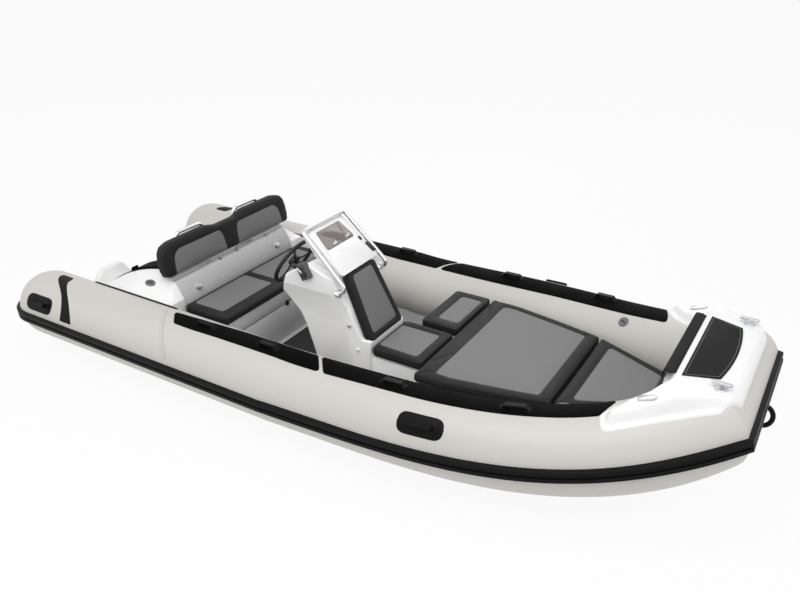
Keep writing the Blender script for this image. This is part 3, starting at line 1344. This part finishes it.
def wheelSpoke(s, place, rows=12, ring=12):  # flat in section, waisted towards the rim and dished
    points = []
    for i in range(rows + 1):
        f = i / rows
        r = s["spokeFrom"] + (s["radius"] - s["spokeFrom"]) * f
        half = s["spokeHalf"] * (1.45 - 0.75 * math.sin(math.pi * min(1.0, f * 1.05)) ** 0.7)
        drop = -s["dish"] * math.sin(math.pi * f)
        for k in range(ring):
            b = 2 * math.pi * k / ring
            points.append(place @ Vector((r, half * math.cos(b), drop + s["spokeThick"] * math.sin(b))))
    return tidied(meshFrom("spoke", points, ringFaces(rows + 1, ring)), 60)


def makeWheel(s):
    tilt = math.radians(s["tilt"])
    w = Vector((-math.cos(tilt), 0, math.sin(tilt)))
    u = Vector((math.sin(tilt), 0, math.cos(tilt)))
    place = placeFrame(s["centre"], u, w.cross(u), w)
    parts = [dressed(wheelRim(s, place), "wheelRubber"), dressed(turned("boss", s["boss"], place), "blackPlastic")]
    for degrees in s["spokes"]:
        spoke = wheelSpoke(s, place @ Matrix.Rotation(math.radians(degrees), 4, "Z"))
        parts.append(dressed(spoke, "blackPlastic"))
    newPiece("steeringWheel", parts, node="wheel")


makeWheel(wheelSettings)

dashOut = Vector((-0.5183, 0, 0.8552))
dashSettings = {
    "gauges": [(-0.2275, -0.215, 0.8475), (-0.2275, -0.125, 0.8475)], "sink": 0.0005,
    "bezel": [(0.029, -0.005), (0.029, 0.002), (0.0285, 0.0045), (0.0268, 0.0058), (0.0250, 0.0045), (0.0245, 0.0022),
              (0.001, 0.0022)],
    "face": [(0.0245, 0.0010), (0.0245, 0.0026), (0.001, 0.0026)],
    "cap": [(0.0032, 0.0026), (0.0032, 0.0042), (0.0022, 0.0048), (0.0005, 0.0048)],
    "needle": (0.019, 0.0011), "needleTail": 0.005, "needleTurns": [120, 190],
    "needleShape": (0, 0.0026, 0.0036, 0.0003),
    "ticks": 27, "sweep": 250, "tickRadius": 0.0205, "tickLift": 0.0027, "shortTick": 0.55,
}


def dashPlace(spot):
    v = Vector((0, -1, 0))
    return placeFrame(spot, v.cross(dashOut), v, dashOut)


def makeGauges(s):
    parts, ticks = [], []
    length, half = s["needle"]
    needle = [(-s["needleTail"], -half), (length, -half * 0.3), (length, half * 0.3), (-s["needleTail"], half)]
    for spot, degrees in zip(s["gauges"], s["needleTurns"]):
        place = dashPlace(Vector(spot) - dashOut * s["sink"])
        turn = place @ Matrix.Rotation(math.radians(degrees), 4, "Z")
        parts += [
            dressed(turned("bezel", s["bezel"], place), "stainless"),
            dressed(turned("face", s["face"], place), "dialFace"),
            dressed(block("needle", needle, *s["needleShape"], turn), "dialMark"),
            dressed(turned("cap", s["cap"], place, 20), "blackPlastic"),
        ]
        for n in range(s["ticks"]):
            a = math.radians(-s["sweep"] / 2 + s["sweep"] * n / (s["ticks"] - 1) + 90)
            tick = place @ Vector((s["tickRadius"] * math.cos(a), s["tickRadius"] * math.sin(a), s["tickLift"]))
            aim = (place.to_3x3() @ Vector((math.cos(a), math.sin(a), 0))).normalized()
            ticks.append((tick, dashOut, aim, s["shortTick"] if n % 3 else 1.0))
    newPiece("dashGauges", parts, node="gauges")
    return ticks


dialTicks = makeGauges(dashSettings)

controlSettings = {  # engine control on the console's side
    "place": (-0.172, -0.4150, 0.836), "plate": (0.037, 0.050), "turn": -28, "buttonRadius": 0.0075,
    "buttons": [(-0.012, 0.020), (0.012, 0.020)], "hubDrop": 0.014, "slant": 0.25, "leverLift": 0.006,
    "hub": [(0.019, 0), (0.019, 0.010), (0.016, 0.014), (0.001, 0.015)],
    "lever": [(0.008, 0.0), (0.022, 0.004), (0.040, 0.010), (0.056, 0.016)],
    "leverRadii": [0.008, 0.0065, 0.006, 0.006], "baseShape": (0.010, -0.004, 0.026, 0.006),
    "knob": [-0.004, 0.002, 0.012, 0.022, 0.028, 0.030], "knobRadii": [0.007, 0.0115, 0.0135, 0.0125, 0.008, 0.002],
}


def tubeAlong(name, path, radii, segments=14):  # a round bar through points
    points = []
    path = [Vector(p) for p in path]
    for i, p in enumerate(path):
        run = (path[min(i + 1, len(path) - 1)] - path[max(i - 1, 0)]).normalized()
        side = (side - run * side.dot(run) if i else run.orthogonal()).normalized()
        other = run.cross(side)
        r = radii[i] if isinstance(radii, list) else radii
        for k in range(segments):
            a = 2 * math.pi * k / segments
            points.append(p + (side * math.cos(a) + other * math.sin(a)) * r)
    return tidied(meshFrom(name, points, ringFaces(len(path), segments)), 50)


def makeControl(s):
    turn = math.radians(s["turn"])
    w = Vector((0, -1, 0))
    v = Vector((math.sin(turn), 0, math.cos(turn)))
    place = placeFrame(Vector(s["place"]), v.cross(w), v, w)
    (a, b), thick = s["plate"], s["baseShape"][2]
    base = block("controlBase", rectangle(-a, -b, a, b), *s["baseShape"], place)
    parts = [dressed(base, "dashPanel")]
    r = s["buttonRadius"]
    button = [(r, 0), (r, 0.003), (r * 0.8, 0.0045), (0.001, 0.0045)]
    for x, y in s["buttons"]:
        spot = place @ Matrix.Translation((x, y, thick - 0.001))
        parts.append(dressed(turned("button", button, spot, 24), "blackPlastic"))
    hub = place @ Matrix.Translation((0, -s["hubDrop"], thick - 0.002))
    parts.append(dressed(turned("leverHub", s["hub"], hub, 32), "blackPlastic"))
    path = [hub @ Vector((-s["slant"] * r, r, s["leverLift"] + h)) for r, h in s["lever"]]
    parts.append(dressed(tubeAlong("lever", path, s["leverRadii"]), "stainless"))
    knob = [path[-1] + (path[-1] - path[-2]).normalized() * d for d in s["knob"]]
    parts.append(dressed(tubeAlong("leverKnob", knob, s["knobRadii"], 20), "blackPlastic"))
    newPiece("engineControl", parts, slot="dash")


makeControl(controlSettings)
print("helm details made")


def makeScatterTree(name):  # stands a small shape on each point, w along "facing" and u along "aim"
    tree = bpy.data.node_groups.new(name, "GeometryNodeTree")
    for label, kind, value in (
        ("Points", "Geometry", None), ("Shape", "Object", None), ("Size", "Float", 1.0), ("Uneven", "Float", 0.0),
        ("Seed", "Int", 3), ("Finish", "Material", None),
    ):
        socket = tree.interface.new_socket(label, in_out="INPUT", socket_type="NodeSocket" + kind)
        if value is not None:
            socket.default_value = value
    tree.interface.new_socket("Result", in_out="OUTPUT", socket_type="NodeSocketGeometry")
    given = addNode(tree, "NodeGroupInput").outputs
    facing, aim, length = (
        addNode(tree, "GeometryNodeInputNamedAttribute", {"Name": key}, data_type=kind).outputs[0]
        for key, kind in (("facing", "FLOAT_VECTOR"), ("aim", "FLOAT_VECTOR"), ("length", "FLOAT"))
    )
    upright = addNode(tree, "FunctionNodeAlignRotationToVector", {"Vector": facing}, axis="Z")
    aimed = addNode(tree, "FunctionNodeAlignRotationToVector", {
        "Rotation": upright.outputs[0], "Vector": aim,
    }, axis="X", pivot_axis="Z")
    uneven = addNode(tree, "FunctionNodeRandomValue", {
        2: math2(tree, "SUBTRACT", 1.0, given["Uneven"]), 3: plus(tree, 1.0, given["Uneven"]), "Seed": given["Seed"],
    }, data_type="FLOAT")
    size = times(tree, given["Size"], uneven.outputs[1])
    scale = addNode(tree, "ShaderNodeCombineXYZ", {0: times(tree, size, length), 1: size, 2: size})
    shape = addNode(tree, "GeometryNodeObjectInfo", {"Object": given["Shape"]})
    points = addNode(tree, "GeometryNodeMeshToPoints", {"Mesh": given["Points"]})
    placed = addNode(tree, "GeometryNodeInstanceOnPoints", {
        "Points": points.outputs[0], "Instance": shape.outputs["Geometry"], "Rotation": aimed.outputs[0],
        "Scale": scale.outputs[0],
    })
    real = addNode(tree, "GeometryNodeRealizeInstances", {"Geometry": placed.outputs[0]})
    finish = addNode(tree, "GeometryNodeSetMaterial", {"Geometry": real.outputs[0], "Material": given["Finish"]})
    addNode(tree, "NodeGroupOutput", {"Result": finish.outputs[0]})
    return tree


scatterTree = makeScatterTree("standOnPoints")


def scatter(name, points, shape, finish, body, slot, size=1.0, uneven=0.0):  # points: place, facing, aim, length
    carrier = bpy.data.meshes.new(name + "Points")
    carrier.from_pydata([tuple(p[0]) for p in points], [], [])
    for key, column in (("facing", 1), ("aim", 2)):
        layer = carrier.attributes.new(key, "FLOAT_VECTOR", "POINT")
        layer.data.foreach_set("vector", np.array([tuple(p[column]) for p in points], dtype=np.float32).ravel())
    layer = carrier.attributes.new("length", "FLOAT", "POINT")
    layer.data.foreach_set("value", np.array([p[3] for p in points], dtype=np.float32))
    item = bpy.data.objects.new(name + "Item", shape)
    holder = bpy.data.objects.new(name + "Holder", carrier)
    for piece in (item, holder):
        scene.collection.objects.link(piece)
    modifier = holder.modifiers.new("stand", "NODES")
    modifier.node_group = scatterTree
    sockets = {row.name: row.identifier for row in scatterTree.interface.items_tree if row.in_out == "INPUT"}
    given = {"Shape": item, "Size": size, "Uneven": uneven, "Seed": 3, "Finish": finishes[finish]}
    for label, value in given.items():
        modifier[sockets[label]] = value
    mesh = flatten(holder, name)
    for piece in (item, holder):
        bpy.data.objects.remove(piece)
    mesh.polygons.foreach_set("material_index", [0] * len(mesh.polygons))
    newPiece(name, mesh, body=body, slot=slot, finish=finish)


def stitchShape(s):  # one thread lying in its dimple
    half, thick = s["stitchLength"] / 2, s["stitchThick"] / 2
    path = [(-half, 0, -thick * 1.2), (-half * 0.6, 0, thick * 0.5), (0, 0, thick), (half * 0.6, 0, thick * 0.5),
            (half, 0, -thick * 1.2)]
    return tubeAlong("stitch", path, [thick * 0.6, thick, thick, thick, thick * 0.6], 5)


def stitchRows(s, mesh):  # stitches beside each panel seam, on the finished cushion
    back = s["place"].inverted()
    tree = BVHTree.FromPolygons([back @ v.co for v in mesh.vertices], [list(p.vertices) for p in mesh.polygons])
    turn = s["place"].to_3x3()
    found = []
    outer = roundedLoop(anticlockwise(s["outline"]), s["corner"])
    for loop in panelLoops(s):
        row = insetLoop(loop, -cushionSettings["stitchAside"])
        carried = 0.0
        for a, b in zip(row, row[1:] + row[:1]):
            span = (b - a).length
            run = (b - a).normalized()
            while carried < span:
                p = a + run * carried
                carried += cushionSettings["stitchPitch"]
                if reachTo(outer, np.array([[p.x, p.y]]))[0] > -cushionSettings["stitchEdge"]:
                    continue
                hit, normal = tree.ray_cast(Vector((p.x, p.y, 0.2)), Vector((0, 0, -1)))[:2]
                if hit:
                    aim = Vector((run.x, run.y, 0))
                    aim = (aim - normal * aim.dot(normal)).normalized()
                    found.append((s["place"] @ (hit + normal * 0.0002), turn @ normal, turn @ aim, 1.0))
            carried -= span
    return found


for (piece, rest), s in zip(started, cushions):
    rows, stitch = stitchRows(s, piece.data), stitchShape(cushionSettings)
    scatter(s["name"] + "Stitches", rows, stitch, "threadGrey", bodyOf[s["node"]], "cushion", uneven=0.04)
print("stitches sewn")

tick = block("tick", rectangle(-0.0024, -0.0004, 0.0024, 0.0004), 0, 0, 0.0005, 0.0001)
scatter("dialTicks", dialTicks, tick, "dialMark", "boat", "dash")


def castRow(name, start, end, count, towards, back=0.25):  # screws where rays meet a CAD node
    tree = treeOf([name])
    towards = Vector(towards).normalized()
    found = []
    for k in range(count):
        spot = Vector(start).lerp(Vector(end), k / max(1, count - 1))
        hit, normal = tree.ray_cast(spot - towards * back, towards)[:2]
        if hit:
            side = normal.orthogonal().normalized()
            found.append((hit, normal, (side * math.cos(k * 2.4) + normal.cross(side) * math.sin(k * 2.4)), 1.0))
    return found


screwRows = [  # node, first, last, how many, towards
    ("transom", (-1.95, -0.42, 0.13), (-1.95, 0.42, 0.13), 6, (1, 0, 0)),
    ("bench_back", (-1.073, -0.51, 0.480), (-1.073, 0.51, 0.480), 7, (-1, 0, 0)),
    ("bench_base", (-0.69, -0.50, 0.085), (-0.69, 0.50, 0.085), 6, (-1, 0, 0)),
    ("seat_box", (0.28, -0.37, 0.10), (0.56, -0.37, 0.10), 3, (0, 1, 0)),
    ("console", (-0.05, -0.42, 0.075), (0.20, -0.42, 0.075), 3, (0, 1, 0)),
    ("console", (-0.05, 0.05, 0.075), (0.20, 0.05, 0.075), 3, (0, -1, 0)),
    ("pad_base", (0.63, -0.40, 0.30), (0.63, 0.40, 0.30), 5, (1, 0, 0)),
    ("bow_cap", (1.85, -0.28, 0.52), (1.85, 0.28, 0.52), 5, (1, 0, 0)),
]
screwSettings = {
    "head": [(1, -0.0012), (1, 0.0006), (0.86, 0.0017), (0.62, 0.0024), (0.42, 0.0026), (0.36, 0.0012), (0.04, 0.0009)],
    "radius": 0.0045, "dash": [(-0.292, -0.318), (-0.292, -0.052), (-0.196, -0.318), (-0.196, -0.052)],
    "dashStart": (-0.244, 0.831), "dashRise": 0.606, "dashLift": 0.0022,
}


def makeScrews(s):
    screws = [screw for row in screwRows for screw in castRow(*row)]
    start, level = s["dashStart"]
    for x, y in s["dash"]:
        spot = Vector((x, y, level + (x - start) * s["dashRise"]))
        screws.append((spot + dashOut * s["dashLift"], dashOut, Vector((0, 1, 0)), 1.0))
    head = turned("screw", [(s["radius"] * r, h) for r, h in s["head"]], Matrix(), 12)
    scatter("smallScrews", screws, head, "stainless", "boat", "steel")
    print("screws driven:", len(screws))


makeScrews(screwSettings)

def facingPlace(spot, w):  # a frame facing w, its u to port
    return placeFrame(spot, (0, 1, 0), w.cross(Vector((0, 1, 0))), w)


fittingSettings = {  # a block's shape is its corner, bottom, top and rounding
    "knobFoot": (-1.060, 0.445), "knobTop": (-1.110, 0.580), "knobs": [(-0.400, 0.4), (0.400, 0.4)],
    "backOut": (0.938, 0, 0.347), "knobRadius": 0.021,
    "knob": [(1, -0.002), (1, 0.002), (0.9, 0.0035), (0.5, 0.005), (0.45, 0.011), (0.82, 0.014), (0.92, 0.0185),
             (0.84, 0.0235), (0.5, 0.026), (0.05, 0.0265)],
    "windowOut": (0.6354, 0, 0.7722), "studs": [(-0.091, -0.102, 0.9595), (-0.089, -0.234, 0.9578)],
    "stud": [(0.0095, -0.001), (0.0095, 0.003), (0.007, 0.0055), (0.0055, 0.010), (0.008, 0.013), (0.0075, 0.018),
             (0.004, 0.020), (0.0005, 0.0203)],
    "hinge": (-0.049, -0.030, 0.929), "hingeHalf": (0.009, 0.014), "hingeShape": (0.003, -0.004, 0.005, 0.002),
    "railBlock": [(0.040, -0.008, 0.860), (-0.016, -0.014, 0.902)], "railHalf": 0.012,
    "railShape": (0.004, -0.012, 0.012, 0.003),
    "brackets": [-0.134, 0.032, 0.346], "bracketPlace": (-1.118, 0, 0), "bracketHalf": 0.012,
    "bracketLevels": (0.572, 0.592), "bracketShape": (0.003, -0.012, 0.006, 0.002),
    "latches": {"benchLatch": (-0.6900, 0.300, 0.317), "benchCatch": (-0.6900, 0.013, 0.302)},
    "latchPlate": (rectangle(-0.015, -0.018, 0.015, 0.018), 0.006, -0.001, 0.006, 0.002),
    "latchPull": (rectangle(-0.010, -0.015, 0.010, 0.004), 0.004, 0.005, 0.013, 0.003),
    "discSide": -0.3925, "discs": [(0.108, 0.541, 0.012, "castSteel"), (0.165, 0.397, 0.010, "gelcoatWhite")],
    "disc": [(1, -0.004), (1, 0.0025), (0.8, 0.005), (0.3, 0.0056)], "discEnd": (0.0004, 0.0056),
    "railFeet": [(0.052, -0.407, 0.742), (0.052, 0.037, 0.742)], "railOut": (0.895, 0, 0.446), "railLift": 0.002,
    "railFoot": [(0.024, -0.012), (0.024, 0.002), (0.021, 0.0045), (0.0145, 0.006), (0.0138, 0.010), (0.002, 0.0102)],
}


def makeKnobs(s):
    foot, top = (Vector((x, 0, z)) for x, z in (s["knobFoot"], s["knobTop"]))
    profile = [(s["knobRadius"] * r, h) for r, h in s["knob"]]
    places = [facingPlace(foot.lerp(top, share) + Vector((0, y, 0)), Vector(s["backOut"])) for y, share in s["knobs"]]
    knobs = [turned("knob", profile, place, 32) for place in places]
    newPiece("backKnobs", knobs, node="knobs", finish="castSteel")


def makeScreenFittings(s):
    out = Vector(s["windowOut"])
    studs = [turned("stud", s["stud"], facingPlace(spot, out), 24) for spot in s["studs"]]
    newPiece("windowStuds", studs, slot="steel", finish="stainless")
    a, b = s["hingeHalf"]
    hinge = block("hinge", rectangle(-a, -b, a, b), *s["hingeShape"], facingPlace(s["hinge"], out))
    low, high = (Vector(p) for p in s["railBlock"])
    run, length, half = (high - low).normalized(), (high - low).length, s["railHalf"]
    place = placeFrame(low, (0, 1, 0), run, Vector((0, 1, 0)).cross(run))
    railBlock = block("railBlock", rectangle(-half, 0, half, length), *s["railShape"], place)
    newPiece("screenHinges", [hinge, railBlock], slot="dash", finish="blackPlastic")


def makeRailFeet(s):
    feet = [facingPlace(Vector(p) + Vector(s["railOut"]) * s["railLift"], Vector(s["railOut"])) for p in s["railFeet"]]
    feet = [turned("foot", s["railFoot"], place, 32) for place in feet]
    newPiece("railFeet", feet, slot="steel", finish="stainless")


def makeBrackets(s):
    place = placeFrame(s["bracketPlace"], (0, 1, 0), (0, 0, 1), (1, 0, 0))
    half, (low, high) = s["bracketHalf"], s["bracketLevels"]
    shape = s["bracketShape"]
    parts = [block("bracket", rectangle(y - half, low, y + half, high), *shape, place) for y in s["brackets"]]
    newPiece("backrestBrackets", parts, slot="steel", finish="castSteel")


def makeLatches(s):
    for name, spot in s["latches"].items():
        place = placeFrame(spot, (0, 1, 0), (0, 0, 1), (1, 0, 0))
        parts = [block(key, *s[key], place) for key in ("latchPlate", "latchPull")]
        rides = {"node": "bench_latch"} if name == "benchLatch" else {"body": "bench_lid_body", "slot": "dash"}
        newPiece(name, parts, finish="blackPlastic", **rides)


def makeDiscs(s):
    parts = []
    for x, z, radius, finish in s["discs"]:
        place = placeFrame((x, s["discSide"], z), (1, 0, 0), (0, 0, 1), (0, -1, 0))
        profile = [(radius * r, h) for r, h in s["disc"]] + [s["discEnd"]]
        parts.append(dressed(turned("disc", profile, place, 32), finish))
    newPiece("consoleDiscs", parts, slot="steel")


for makeFitting in (makeKnobs, makeScreenFittings, makeBrackets, makeLatches, makeDiscs, makeRailFeet):
    makeFitting(fittingSettings)

ringSettings = {
    "path": [(2.262, 0.530), (2.292, 0.538), (2.322, 0.533), (2.343, 0.512), (2.351, 0.480), (2.343, 0.448),
             (2.322, 0.427), (2.292, 0.422), (2.262, 0.430)],
    "radius": 0.0125, "between": 5,
}


def makeTowRing(s):
    curve = [Vector((x, 0, z)) for x, z in s["path"]]
    fine = []
    for i in range(len(curve) - 1):
        a, b, c, d = curve[max(0, i - 1)], curve[i], curve[i + 1], curve[min(len(curve) - 1, i + 2)]
        for k in range(s["between"]):
            t = k / s["between"]
            bend = (2 * a - 5 * b + 4 * c - d) * t * t + (3 * b - a - 3 * c + d) * t ** 3
            fine.append(0.5 * (2 * b + (c - a) * t + bend))
    fine.append(curve[-1])
    newPiece("towRing", tubeAlong("towRing", fine, s["radius"], 20), node="tow_ring", finish="handleRubber")


makeTowRing(ringSettings)
print("fittings made")
